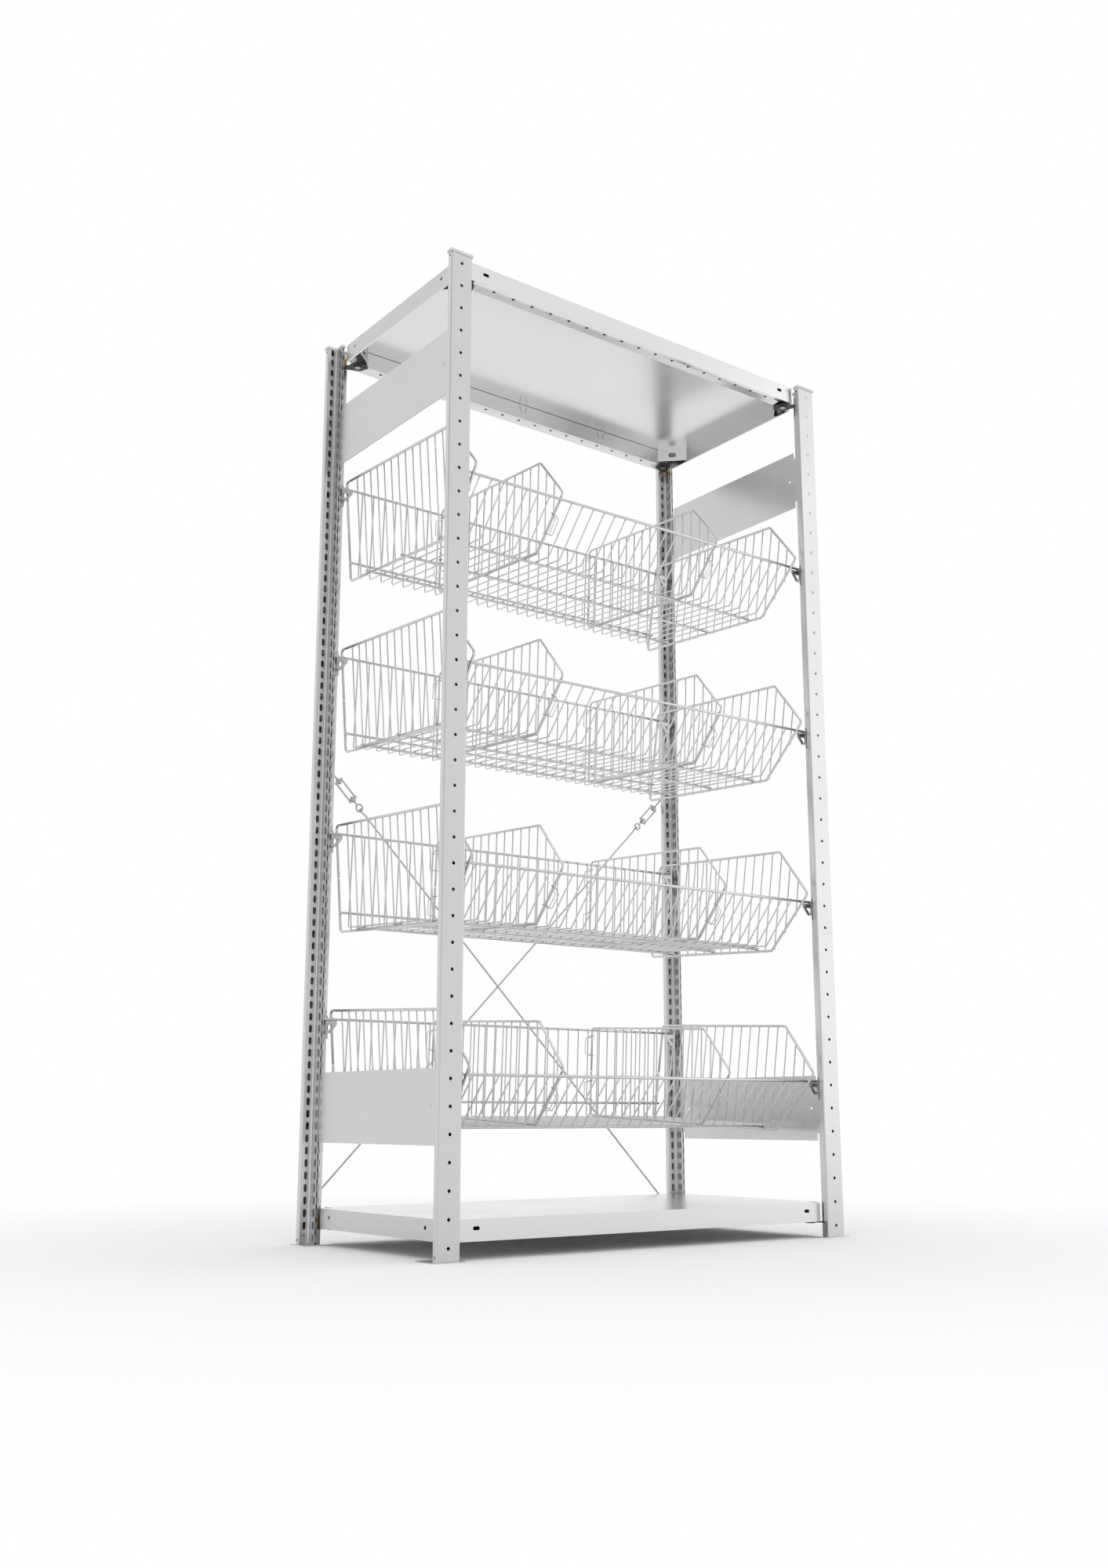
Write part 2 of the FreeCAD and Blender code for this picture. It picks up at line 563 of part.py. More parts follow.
cut = extrude(shelf, "Pocket", "tab_slit_cut", slits, "2 * %s + shelf_sheet" % box_wall, symmetric=True)
repeat(shelf, "tab_slit_row", cut, "X_Axis", "tab_pitch", "tab_count")
for name, sign in (("front", ""), ("rear", "-")):
    ports = sketch_on(shelf, name + "_edge_slots", "XZ_Plane", sign + long_face)
    for place in ("-edge_slot_offset", "edge_slot_offset"):
        oblong(ports, place, "shelf_height - edge_hole_drop", "edge_slot_width", "edge_slot_length",
               upright=False)
    extrude(shelf, "Pocket", name + "_edge_slot_cut", ports, "4 * shelf_sheet", symmetric=True)
ports = sketch_on(shelf, "edge_holes", "YZ_Plane")
for place in ("-edge_hole_offset", "edge_hole_offset"):
    circle(ports, place, "shelf_height - edge_hole_drop", "edge_hole")
extrude(shelf, "Pocket", "edge_hole_cut", ports, "2 * shelf_length", symmetric=True)
gusset_sum = "(%s + %s - gusset_reach)" % (side_wall, bay_wall)
for name, side, end, turn in CORNERS:
    plate = sketch_on(shelf, "gusset_" + name, "XZ_Plane")
    turned = FreeCAD.Rotation(V(0, 1, 0), math.degrees(math.atan2(side, -end)))
    plate.AttachmentOffset = FreeCAD.Placement(V(), turned)
    plate.setExpression("AttachmentOffset.Base.x", cells("%d * %s / 2" % (side, gusset_sum)))
    plate.setExpression("AttachmentOffset.Base.z", cells("%d * %s / 2" % (-end, gusset_sum)))
    middle = "%d * (%s - %s) / sqrt(2)" % (-side * end, side_wall, bay_wall)
    low = "shelf_height - shelf_sheet - gusset_height"
    rectangle(plate, middle + " - gusset_reach / sqrt(2)", middle + " + gusset_reach / sqrt(2)",
              low, "shelf_height - shelf_sheet / 2")
    oblong(plate, middle, low + " + gusset_height / 2", "gusset_hole_width", "gusset_hole_length",
           upright=False)
    extrude(shelf, "Pad", "gusset_plate_" + name, plate, "shelf_sheet")


# Brackets hook into the slots on the inner face of a flange. Their own frame has that
# face at y = 0, the slot column at x = 0, the slot's middle at z = 0 and the bay at +x.
def add_hook(body):
    """Neck through the slot with a tail that drops behind the sheet."""
    hook = sketch_on(body, "hook_profile", "YZ_Plane")
    neck = "-(slot_length / 2 - hook_lift)"
    behind = "-(upright_sheet + fit_clearance)"
    inside = "-(upright_sheet + fit_clearance + bracket_sheet)"
    outline(hook, (("bracket_sheet / 2", neck), (behind, neck), (behind, neck + " - hook_tail"),
                   (inside, neck + " - hook_tail"), (inside, "hook_rise"),
                   ("bracket_sheet / 2", "hook_rise")))
    return extrude(body, "Pad", "hook", hook, "hook_width", symmetric=True)


strip = new_body("clip_hook_master")
face = sketch_on(strip, "strip_face", "XZ_Plane")
rectangle(face, "-strip_width / 2", "strip_width / 2", "-strip_below", "strip_above")
extrude(strip, "Pad", "strip", face, "bracket_sheet", flip=True)
add_hook(strip)

# The clip plate points along the diagonal of its corner: here along +y.
clip = new_body("clip_plate_master")
kite = sketch_on(clip, "clip_outline", "XY_Plane")
outline(kite, (("-clip_tip / 2", "0"), ("clip_tip / 2", "0"), ("clip_width / 2", "clip_waist"),
               ("clip_end / 2", "clip_length"), ("-clip_end / 2", "clip_length"),
               ("-clip_width / 2", "clip_waist")))
extrude(clip, "Pad", "clip_sheet", kite, "bracket_sheet")
dome = sketch_on(clip, "clip_boss_outline", "XY_Plane")
circle(dome, "0", "clip_boss_place", "clip_boss")
extrude(clip, "Pad", "clip_boss", dome, "clip_boss_drop", flip=True)
port = sketch_on(clip, "clip_port", "XY_Plane")
circle(port, "0", "clip_hole_place", "clip_hole")
extrude(clip, "Pocket", "clip_port_cut", port, "4 * bracket_sheet", symmetric=True)

# The hanger carries a rim end on a short seat, with a gusset round a hole below its tongue.
hanger = new_body("hanger_master")
face = sketch_on(hanger, "hanger_plate", "XZ_Plane")
rectangle(face, "-hanger_outer", "hanger_inner", "-hanger_below", "hanger_above")
extrude(hanger, "Pad", "hanger_back", face, "bracket_sheet", flip=True)
seat = sketch_on(hanger, "hanger_seat", "XY_Plane", "hanger_seat - bracket_sheet")
rectangle(seat, "0", "hanger_shelf", "0", "hanger_depth")
extrude(hanger, "Pad", "hanger_seat_sheet", seat, "bracket_sheet")
tongue = sketch_on(hanger, "hanger_tongue", "XZ_Plane", "-hanger_depth")
outline(tongue, (("0", "hanger_seat"), ("0", "-hanger_gusset"), ("hanger_inner", "-hanger_gusset"),
                 ("hanger_reach", "hanger_seat - hanger_tongue"), ("hanger_reach", "hanger_seat")))
outline(tongue, (("hanger_strut", "hanger_seat - hanger_tongue - hanger_strut / 2"),
                 ("hanger_strut", "-hanger_gusset + 2 * hanger_strut"),
                 ("hanger_inner - hanger_strut", "-hanger_gusset + 2 * hanger_strut"),
                 ("hanger_reach - 3 * hanger_strut", "hanger_seat - hanger_tongue - hanger_strut / 2")))
extrude(hanger, "Pad", "hanger_tongue_sheet", tongue, "bracket_sheet")
web = sketch_on(hanger, "hanger_foot", "XY_Plane", "-hanger_gusset")
rectangle(web, "0", "hanger_inner", "0", "hanger_depth")
extrude(hanger, "Pad", "hanger_foot_sheet", web, "bracket_sheet")
hook = add_hook(hanger)
repeat(hanger, "hanger_hooks", hook, "Z_Axis", "slot_pitch", "2")


def mirrored(label, source):
    """Right-hand version of a bracket."""
    other = doc.addObject("Part::Mirroring", label)
    other.Source = source
    other.Normal = V(1, 0, 0)
    doc.recompute()
    return other


hanger_right = mirrored("hanger_right_master", hanger)
column = half_bay - size("slot_offset")
inner_face = half_depth - deep
first_slot = size("first_slot")
slot_pitch = size("slot_pitch")


def slot_height(number):
    return first_slot + number * slot_pitch


for level in ("bottom", "top"):
    carrier = slot_height(size(level + "_shelf_slot"))
    under = carrier - size("shelf_drop")
    nodes.append(linked(level + "_shelf", shelf, at(0, 0, under)))
    plates = []
    strips = []
    for name, side, end, turn in CORNERS:
        seat = at(side * column, end * inner_face, carrier, turn)
        strips.append(linked("%s_hook_%s" % (level, name), strip, seat))
        tip_gap = size("bracket_sheet + wire_gap") + size("clip_tip / 2") * math.sin(math.radians(45))
        tip = at(side * column, end * (inner_face - tip_gap), under - size("bracket_sheet"))
        tip.Rotation = FreeCAD.Rotation(UP, 45 * side + turn if end < 0 else turn - 45 * side)
        plates.append(linked("%s_plate_%s" % (level, name), clip, tip))
    nodes.append(grouped(level + "_shelf_clips", plates))
    nodes.append(grouped(level + "_shelf_hooks", strips))

# A basket's own frame has its front point at y = 0, z = 0. The ends are drawn in their
# own leaning plane, where the front slope runs from the front point down to the bottom.
top = size("basket_top")
bottom = -size("basket_bottom")
rear = size("basket_rear")
top_front = size("top_setback")
bottom_front = size("bottom_setback")
end_wire = size("end_wire")
bar_wire = size("bar_wire")
cross_wire = size("cross_wire")
infill_wire = size("infill_wire")
weld = size("weld")
wire_gap = size("wire_gap")
pitch = size("wire_pitch")
down = V(0, bottom_front, bottom).normalize()
inward = V(0, -down.z, down.y)


def slope_point(along, inset):
    """Place on the front slope, measured from the front point and from the end's wire."""
    return down * along + inward * inset


def slope_at_height(height, inset):
    along = (height - inward.z * inset) / down.z
    return slope_point(along, inset)


def grille(frame_wire, inset, low, setback, first):
    """Frame of one bent wire, drawn in from the basket's edge, with infill wires on one face."""
    high = top - inset
    back = rear - setback
    rise = V(0, top_front, top).normalize()
    nose = (rise + down).normalize() * (inset / math.sin(rise.getAngle(down) / 2))
    crest = nose + rise * ((high - nose.z) / rise.z)
    corner = nose + down * ((low - nose.z) / down.z)
    joint = size("frame_joint")
    half_gap = size("frame_gap") / 2
    route = [V(0, back, joint - half_gap), V(0, back, low), corner, nose, crest, V(0, back, high),
             V(0, back, joint + half_gap)]
    pieces = [bent_wire(route, frame_wire, size("end_bend"))]
    poke = size("infill_poke")
    offset = frame_wire / 2 + infill_wire / 2 - weld
    for number in range(int(size("infill_count"))):
        place = back - first - number * pitch
        over = high if place > crest.y else nose.z + (place - nose.y) * rise.z / rise.y
        under = low if place > corner.y else nose.z + (place - nose.y) * down.z / down.y
        if over - under > 4 * frame_wire:
            low_end = V(offset, place, under - poke)
            high_end = V(offset, place, over + poke / 3)
            pieces.append(straight_wire(low_end, high_end, infill_wire))
    return pieces[0].multiFuse(pieces[1:])


bar_inset = (end_wire + bar_wire) / 2 + wire_gap
cross_inset = bar_inset + (bar_wire + cross_wire) / 2 - weld
divider_wire = size("divider_wire")
divider_inset = cross_inset + (cross_wire + divider_wire) / 2 + wire_gap
lean = size("end_lean")
bottom_edge = bottom * math.cos(math.radians(lean))
end_half = size("end_half")
front_rim = slope_point(size("front_rim_place"), bar_inset)
rear_rim = V(0, rear - bar_inset, size("rear_rim_height"))


def long_bar(place, half):
    return straight_wire(V(-half, place.y, place.z), V(half, place.y, place.z), bar_wire)


def end_at(height):
    """Distance of a basket end from the middle at a height."""
    return end_half + height * math.tan(math.radians(lean))


def cross_place(number):
    """Sideways place of a bent wire."""
    return (number - (size("cross_count") - 1) / 2) * pitch


def tray():
    """Bent cross wires welded inside two rims, three floor bars and a rear bar."""
    floor = bottom_edge + cross_inset
    back = rear - cross_inset
    route = [slope_point(size("front_rim_place") - bar_wire / 4, cross_inset),
             slope_at_height(floor, cross_inset), V(0, back, floor), V(0, back, rear_rim.z + bar_wire / 4)]
    wire = bent_wire(route, cross_wire, size("cross_bend"))
    count = int(size("cross_count"))
    pieces = [wire.translated(V(cross_place(number), 0, 0)) for number in range(count)]
    rim_half = size("rim_half")
    poke = size("bar_poke")
    bars = [long_bar(front_rim, rim_half), long_bar(rear_rim, rim_half)]
    low = V(0, rear - bar_inset, bottom + size("rear_bar_height"))
    bars.append(long_bar(low, end_at(low.z) + poke))
    for number in range(int(size("floor_bar_count"))):
        place = bottom_front + size("floor_bar_first") + number * size("floor_bar_pitch")
        bars.append(long_bar(V(0, place, bottom_edge + bar_inset), end_at(bottom_edge + bar_inset) + poke))
    return bars[0].multiFuse(bars[1:] + pieces)


clip_wire = size("clip_wire")
clip_half = size("clip_loop_length / 2")


def front_clip(place):
    """Wire loop with a middle wire, on the outside of the sloping wires."""
    inset = cross_inset - (cross_wire + clip_wire) / 2 - wire_gap
    middle = slope_point(size("front_clip_place"), inset)
    upper = middle - down * clip_half
    lower = middle + down * clip_half
    left = V(place - size("clip_loop_left"), 0, 0)
    right = V(place + size("clip_loop_right"), 0, 0)
    bar = V(place + size("clip_loop_bar"), 0, 0)
    corners = [upper + left, upper + right, lower + right, lower + left]
    loop = bent_wire(corners, clip_wire, 2 * clip_wire, closed=True)
    return loop.fuse(straight_wire(upper + bar, lower + bar, clip_wire))


def rear_clip(place, height):
    """Wire loop beside the divider's rear wire that reaches round the rear wires."""
    beside = place - (divider_wire + clip_wire) / 2 - wire_gap
    near = rear - size("divider_setback")
    far = rear - cross_inset + (cross_wire + clip_wire) / 2 + wire_gap
    loop = [V(beside, near, height - clip_half), V(beside, far, height - clip_half),
            V(beside, far, height + clip_half), V(beside, near, height + clip_half)]
    return bent_wire(loop, clip_wire, 2 * clip_wire, closed=True)


def divider_clips(place):
    rear_clips = [rear_clip(place, size(height)) for height in ("rear_clip_low", "rear_clip_high")]
    return [front_clip(place)] + rear_clips


tray_master = shaped("tray_master", tray())
end_master = shaped("end_master", grille(end_wire, 0, bottom, 0, size("end_infill_first")))
divider_master = shaped("divider_master", grille(divider_wire, divider_inset, bottom_edge + divider_inset,
                                                 size("divider_setback"), size("divider_infill_first")))
divider_places = {side: cross_place(size(side + "_divider")) for side in ("left", "right")}
clip_masters = [shaped("divider_clip_master", loop)
                for place in divider_places.values() for loop in divider_clips(place)]

# Rear hangers sit some slots higher than front ones, and that tilts the basket forward.
# Both rims rest on their seats, so the tilt follows from the slots and the rims' places.
rise = size("basket_rise") * slot_pitch
span = rear_rim - front_rim
tilt = math.asin(rise / span.Length) - math.atan2(span.z, span.y)
lean_in = {"left": FreeCAD.Rotation(V(0, 1, 0), -lean), "right": FreeCAD.Rotation(V(0, 1, 0), lean)}
rock = FreeCAD.Rotation(V(1, 0, 0), math.degrees(tilt))
spread = math.sqrt(span.Length ** 2 - rise ** 2)
seat_to_rim = bar_wire / 2 + size("fit_clearance")

for number, level in enumerate(("bottom", "lower", "upper", "top")):
    slot = size("basket_first") + number * size("basket_step")
    brackets = []
    for name, side, end, turn in CORNERS:
        height = slot_height(slot if end < 0 else slot + size("basket_rise"))
        make = hanger if side * end > 0 else hanger_right
        seat = at(side * column, end * inner_face, height, turn)
        brackets.append(linked("%s_hanger_%s" % (level, name), make, seat))
    nodes.append(grouped(level + "_hangers", brackets))
    rim_height = slot_height(slot) + size("hanger_seat") + seat_to_rim
    origin = V(size("basket_shift"), -spread / 2, rim_height) - rock.multVec(front_rim)
    whole = FreeCAD.Placement(origin, rock)
    nodes.append(linked(level + "_basket_tray", tray_master, whole))
    for side, sign in (("left", -1), ("right", 1)):
        wall = FreeCAD.Placement(V(sign * end_half, 0, 0), lean_in[side])
        nodes.append(linked("%s_basket_%s_end" % (level, side), end_master, whole.multiply(wall)))
        wall = FreeCAD.Placement(V(divider_places[side], 0, 0), FreeCAD.Rotation())
        nodes.append(linked("%s_basket_%s_divider" % (level, side), divider_master, whole.multiply(wall)))
    clips = [linked("%s_divider_clip" % level, one, whole) for one in clip_masters]
    nodes.append(grouped(level + "_basket_divider_clips", clips))

# Two rods brace the rear. Each hooks into an upper and a lower face hole and is drawn
# tight by a turnbuckle between its upper hook and an eye.
rod = size("brace_rod")
hole_pitch = size("hole_pitch")
low_hole = size("first_hole + brace_low_hole * hole_pitch")
bend = size("brace_bend")
into = half_depth - size("upright_sheet") - size("brace_hook")
clear = size("fit_clearance")


def open_turnbuckle():
    """Two nuts on cross arms, joined by two side rods, about the x axis."""
    nut = size("buckle_nut")
    nut_length = size("buckle_nut_length")
    arm = V(0, 0, size("buckle_half"))
    tip = V(0, 0, size("buckle_half + brace_rod / 2 + buckle_arm"))
    outer = size("buckle_length / 2")
    inner = V(outer - nut_length / 2, 0, 0)
    pieces = [straight_wire(sign * arm - inner, sign * arm + inner, rod) for sign in (-1, 1)]
    for sign in (-1, 1):
        pieces.append(straight_wire(sign * inner - tip, sign * inner + tip, rod + 1))
        pieces.append(straight_wire(V(sign * outer, 0, 0), V(sign * (outer - nut_length), 0, 0), nut))
    bore = straight_wire(V(-2 * outer, 0, 0), V(2 * outer, 0, 0), rod + 2 * clear)
    return pieces[0].multiFuse(pieces[1:]).cut(bore)


turnbuckle = shaped("turnbuckle_master", open_turnbuckle())
for number, (name, side) in enumerate((("left", -1), ("right", 1))):
    layer = half_depth + rod / 2 + clear + number * (rod + clear)
    lift = number * size("brace_stagger") * hole_pitch
    upper = V(side * half_bay, layer, low_hole + lift + size("brace_rise") * hole_pitch)
    lower = V(-side * half_bay, layer, low_hole + lift)
    along = (lower - upper).normalize()
    start = size("buckle_start")
    finish = start + size("buckle_length")
    thread = size("buckle_thread")
    inner = V(upper.x, into, upper.z)
    hook = bent_wire([inner, upper, upper + along * (start + thread)], rod, bend)
    nodes.append(shaped("brace_hook_" + name, hook))
    slant = FreeCAD.Rotation(V(1, 0, 0), along)
    middle = upper + along * (start + finish) / 2
    nodes.append(linked("turnbuckle_" + name, turnbuckle, FreeCAD.Placement(middle, slant)))
    eye_radius = size("eye_radius")
    eye = upper + along * (finish + size("eye_neck") + eye_radius)
    ring = Part.makeTorus(eye_radius, rod / 2, eye, V(0, 1, 0))
    shank = straight_wire(upper + along * (finish - thread), eye - along * eye_radius, rod)
    nodes.append(shaped("brace_eye_" + name, ring.fuse(shank)))
    back = V(0, rod + clear, 0)
    turn_in = eye + along * (eye_radius - rod - clear)
    joggle = along * size("joggle")
    route = [turn_in - back, turn_in + back, turn_in + back + joggle, turn_in + joggle * 2, lower,
             V(lower.x, into, lower.z)]
    nodes.append(shaped("brace_rod_" + name, bent_wire(route, rod, rod * 0.55)))

doc.recompute()
for thing in doc.Objects:
    if "Invalid" in thing.State or "Error" in thing.State:
        raise RuntimeError("%s did not recompute: %s" % (thing.Label, thing.State))
os.makedirs("parts", exist_ok=True)
for node in nodes:
    shape = Part.getShape(node)
    if shape.isNull() or not shape.isValid() or not shape.Solids:
        raise RuntimeError("%s has no valid solid" % node.Label)
    shape.exportStep("parts/%s.step" % node.Label)
print("%d nodes, tilt %.3f degrees" % (len(nodes), math.degrees(tilt)))
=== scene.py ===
"""Wire basket shelving unit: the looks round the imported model, in its frame, in metres."""
import math

import bpy
import numpy as np
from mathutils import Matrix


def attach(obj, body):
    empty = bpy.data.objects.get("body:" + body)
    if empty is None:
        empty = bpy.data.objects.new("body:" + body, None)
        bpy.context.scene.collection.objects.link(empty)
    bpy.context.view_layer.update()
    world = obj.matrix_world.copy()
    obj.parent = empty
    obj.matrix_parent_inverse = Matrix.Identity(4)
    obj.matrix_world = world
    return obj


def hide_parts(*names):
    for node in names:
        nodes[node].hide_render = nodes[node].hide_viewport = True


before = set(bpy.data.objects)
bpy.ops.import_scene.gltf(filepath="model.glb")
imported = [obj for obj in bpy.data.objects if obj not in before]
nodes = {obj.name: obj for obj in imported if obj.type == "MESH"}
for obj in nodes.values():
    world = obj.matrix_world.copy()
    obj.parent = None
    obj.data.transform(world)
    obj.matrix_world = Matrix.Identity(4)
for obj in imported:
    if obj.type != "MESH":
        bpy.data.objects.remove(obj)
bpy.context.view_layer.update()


# The studio: a white sweep of floor and air with large soft lamps, so that bare zinc shows
# white reflections and the bay stands on its own soft shadow. The side on which one stands to
# look at the front left corner is dimmer, which draws the bends and the round wires.
def linear(text):
    """Linear RGBA of an sRGB hex colour."""
    value = np.array([int(text[i:i + 2], 16) for i in (0, 2, 4)]) / 255
    low = value / 12.92
    high = ((value + 0.055) / 1.055) ** 2.4
    return (*np.where(value <= 0.04045, low, high).tolist(), 1.0)


def add(tree, kind, settings=(), inputs=()):
    """Adds one node: settings are its properties, inputs are values or the sockets to link."""
    node = tree.nodes.new("ShaderNode" + kind)
    for name, value in dict(settings).items():
        setattr(node, name, value)
    for name, value in dict(inputs).items():
        if isinstance(value, bpy.types.NodeSocket):
            tree.links.new(value, node.inputs[name])
        else:
            node.inputs[name].default_value = value
    return node


def numbers(tree, operation, first, second=0.0):
    """Result of a Math node on numbers or sockets."""
    return add(tree, "Math", {"operation": operation}, {0: first, 1: second}).outputs[0]


def vectors(tree, operation, first, second=(0.0, 0.0, 0.0)):
    """Results of a Vector Math node on vectors or sockets, the vector and the value."""
    return add(tree, "VectorMath", {"operation": operation}, {0: first, 1: second}).outputs


def ramp(tree, value, start, stop, low=0.0, high=1.0, kind="LINEAR"):
    """Number that goes from low to high while a value goes from start to stop."""
    inputs = {"Value": value, "From Min": start, "From Max": stop, "To Min": low, "To Max": high}
    return add(tree, "MapRange", {"interpolation_type": kind}, inputs).outputs[0]


def new_material(name):
    """Empty material and its node tree."""
    material = bpy.data.materials.new(name)
    material.use_nodes = True
    material.node_tree.nodes.clear()
    return material, material.node_tree


scene = bpy.context.scene
scene.view_settings.view_transform = "Standard"
world = bpy.data.worlds.new("white_studio")
scene.world = world
world.use_nodes = True
air = world.node_tree
air.nodes.clear()
diffuse_level = 0.83
dim_level = 0.6
dim_side = (-0.61, -0.78, -0.1)
dim_starts = 0.36
dim_full = 0.7
ray = add(air, "LightPath").outputs
sky = add(air, "TexCoord").outputs["Generated"]
toward = vectors(air, "DOT_PRODUCT", sky, dim_side)["Value"]
mirrored = ramp(air, toward, dim_starts, dim_full, 1.0, dim_level, "SMOOTHSTEP")
reflected = numbers(air, "MAXIMUM", ray["Is Glossy Ray"], ray["Is Transmission Ray"])
strength = ramp(air, reflected, 0.0, 1.0, diffuse_level, mirrored)
strength = numbers(air, "MAXIMUM", strength, ray["Is Camera Ray"])
glow = add(air, "Background", {}, {"Color": linear("FFFFFF"), "Strength": strength})
add(air, "OutputWorld", {}, {"Surface": glow.outputs[0]})

# The floor's paint takes the shadow near the bay and fades into the white of the air further out.
floor_reach = 30.0
fade_starts = 0.7
fade_ends = 2.4
floor_corners = [(floor_reach * x, floor_reach * y, 0) for x, y in ((-1, -1), (1, -1), (1, 1), (-1, 1))]
floor_mesh = bpy.data.meshes.new("floor")
floor_mesh.from_pydata(floor_corners, [], [(0, 1, 2, 3)])
floor = bpy.data.objects.new("floor", floor_mesh)
scene.collection.objects.link(floor)
floor_paint, tree = new_material("white_floor_paint")
floor_mesh.materials.append(floor_paint)
place = add(tree, "TexCoord").outputs["Object"]
ray = add(tree, "LightPath").outputs
away = vectors(tree, "LENGTH", place)["Value"]
fade = ramp(tree, away, fade_starts, fade_ends, kind="SMOOTHSTEP")
seen = numbers(tree, "MAXIMUM", ray["Is Camera Ray"], ray["Is Glossy Ray"])
seen = numbers(tree, "MAXIMUM", seen, ray["Is Transmission Ray"])
fade = numbers(tree, "MULTIPLY", fade, seen)
shade = add(tree, "BsdfDiffuse", {}, {"Color": linear("FCFCFC")})
glow = add(tree, "Emission", {}, {"Color": linear("FFFFFF"), "Strength": 1.0})
blend = add(tree, "MixShader", {}, {0: fade, 1: shade.outputs[0], 2: glow.outputs[0]})
add(tree, "OutputMaterial", {}, {"Surface": blend.outputs[0]})


def lamp(name, place, target, width, height, power):
    """Soft rectangular lamp that faces a point."""
    data = bpy.data.lights.new(name, "AREA")
    data.shape = "RECTANGLE"
    data.size = width
    data.size_y = height
    data.energy = power
    light = bpy.data.objects.new(name, data)
    scene.collection.objects.link(light)
    light.location = place
    aim = np.array(target) - np.array(place)
    yaw = math.atan2(-aim[0], aim[1])
    pitch = math.atan2(aim[2], math.hypot(aim[0], aim[1]))
    light.rotation_euler = (math.pi / 2 + pitch, 0, yaw)


lamp("overhead_lamp", (0, -0.3, 5.5), (0, 0, 0), 5, 5, 47)
lamp("right_lamp", (5.0, -2.7, 2.0), (0.5, 0, 1.2), 4, 5, 30)
lamp("corner_lamp", (-3.6, -4.6, 1.7), (0, 0, 1.0), 2.4, 3.2, 15)

sensor = 36
focal_pixels = 1961.273
tall_pixels = 2000
tilt_up = 12.19132
heading = -37.05432
camera_data = bpy.data.cameras.new("camera")
camera_data.sensor_width = sensor
camera_data.lens = sensor * focal_pixels / tall_pixels
camera = bpy.data.objects.new("camera", camera_data)
scene.collection.objects.link(camera)
camera.location = (-2.082663, -2.671314, 0.257314)
camera.rotation_euler = (math.radians(90 + tilt_up), 0, math.radians(heading))
scene.camera = camera

# The uprights are rolled from galvanised steel strip, punched before rolling, and stand in
# pressed feet. The zinc is skin-passed: an even satin grey, darker along the punched edges and with
# painted shade along its bends and creases.
MM = 0.001
CORNERS = ("front_left", "front_right", "rear_left", "rear_right")


def noise(tree, place, size, detail):
    """Noise from 0 to 1 in clouds of about a size in mm."""
    inputs = {"Vector": place, "Scale": 1 / (size * MM), "Detail": detail}
    return add(tree, "TexNoise", {}, inputs).outputs[0]


def mix(tree, end_wall_shade, first, second):
    """Colour between two colours."""
    return add(tree, "Mix", {"data_type": "RGBA"}, {0: end_wall_shade, 6: first, 7: second}).outputs[2]


def metal(name, colour, roughness, cloud):
    """Bare zinc on steel: its gloss drifts a little in soft clouds of a size in mm, and every edge,
    found where a small eased radius turns the normal away from the face, is painted a third darker: darker
    bare cut edges, and painted shade along folds, creases and where parts meet."""
    eased_radius = 0.5 * MM
    edge_shade_share = 0.66
    drift = 0.03
    material, tree = new_material(name)
    place = add(tree, "TexCoord").outputs["Object"]
    clouds = noise(tree, place, cloud, 2.0)
    face = add(tree, "NewGeometry").outputs["Normal"]
    eased = add(tree, "Bevel", {"samples": 4}, {"Radius": eased_radius}).outputs[0]
    facing = vectors(tree, "DOT_PRODUCT", eased, face)["Value"]
    # painted shade: every eased edge, fold and crease is darkened a third, not only the bare cut edges
    edge_and_crease_shade = ramp(tree, facing, 0.98, 0.8)
    red, green, blue, full = linear(colour)
    dull_and_shaded = (red * edge_shade_share, green * edge_shade_share, blue * edge_shade_share, full)
    tone = mix(tree, edge_and_crease_shade, (red, green, blue, full), dull_and_shaded)
    gloss = ramp(tree, clouds, 0.3, 0.7, roughness - drift, roughness + drift)
    shade = add(tree, "BsdfPrincipled", {}, {"Base Color": tone, "Metallic": 1.0, "Roughness": gloss})
    add(tree, "OutputMaterial", {}, {"Surface": shade.outputs[0]})
    return material


def finish_node(name, material):
    """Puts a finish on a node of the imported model."""
    mesh = nodes[name].data
    mesh.materials.clear()
    mesh.materials.append(material)


strip_zinc = metal("galvanised_strip", "CFCFCF", 0.28, 120)
for corner in CORNERS:
    finish_node("upright_" + corner, strip_zinc)
    finish_node("foot_" + corner, strip_zinc)

# Caps are moulded in light grey polyethylene with a fine matt grain and pushed over the tops
# of the uprights.
cap_plastic, tree = new_material("grey_polyethylene")
place = add(tree, "TexCoord").outputs["Object"]
grain = noise(tree, place, 0.8, 3.0)
bump = add(tree, "Bump", {}, {"Height": grain, "Strength": 0.3, "Distance": 0.05 * MM})
shade = add(tree, "BsdfPrincipled", {}, {"Base Color": linear("D2D3D4"), "Roughness": 0.5, "IOR": 1.51,
                                         "Normal": bump.outputs[0]})
add(tree, "OutputMaterial", {}, {"Surface": shade.outputs[0]})
for corner in CORNERS:
    finish_node("cap_" + corner, cap_plastic)

# Side panels are flat galvanised sheet, bent over at the ends and hooked between a front and
# a rear upright. Pins fix the feet.
panel_zinc = metal("galvanised_panel", "CCCCCC", 0.26, 150)
for level in ("lower", "upper"):
    for side in ("left", "right"):
        finish_node("side_panel_%s_%s" % (level, side), panel_zinc)
bracket_zinc = metal("zinc_plated_pressing", "B9B9BA", 0.3, 30)
finish_node("foot_pins", bracket_zinc)
